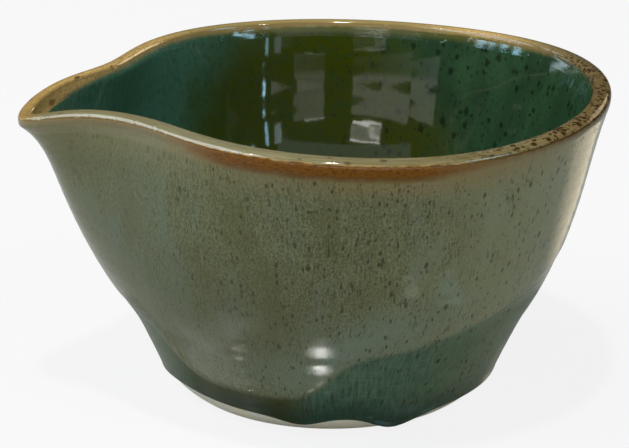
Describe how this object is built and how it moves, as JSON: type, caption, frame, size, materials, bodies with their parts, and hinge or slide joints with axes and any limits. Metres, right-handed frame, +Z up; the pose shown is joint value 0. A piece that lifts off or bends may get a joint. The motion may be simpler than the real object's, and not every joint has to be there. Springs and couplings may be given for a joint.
{
  "type": "spouted tea bowl",
  "caption": "Thrown stoneware bowl with a pulled pouring lip, a turned foot ring, speckled sage and teal glaze outside, dark green glaze inside and an iron-brown rim.",
  "frame": {"origin": "centre of the whole bowl's plan, spout included, on the surface that the foot ring stands on", "axes": "+Z up out of the bowl, -X along the spout towards the pouring tip, -Y the side seen in the picture"},
  "size_m": [0.1348, 0.1264, 0.0732],
  "materials": {
    "bare_stoneware": "matte",
    "liner_glaze": "gloss",
    "base_glaze": "gloss",
    "overdip_glaze": "satin",
    "rim_glaze": "gloss"
  },
  "bodies": {
    "root": {"clay_body": "bare_stoneware", "liner_glaze": "liner_glaze", "base_glaze": "base_glaze", "overdip_glaze": "overdip_glaze", "rim_glaze": "rim_glaze"}
  },
  "joints": []
}
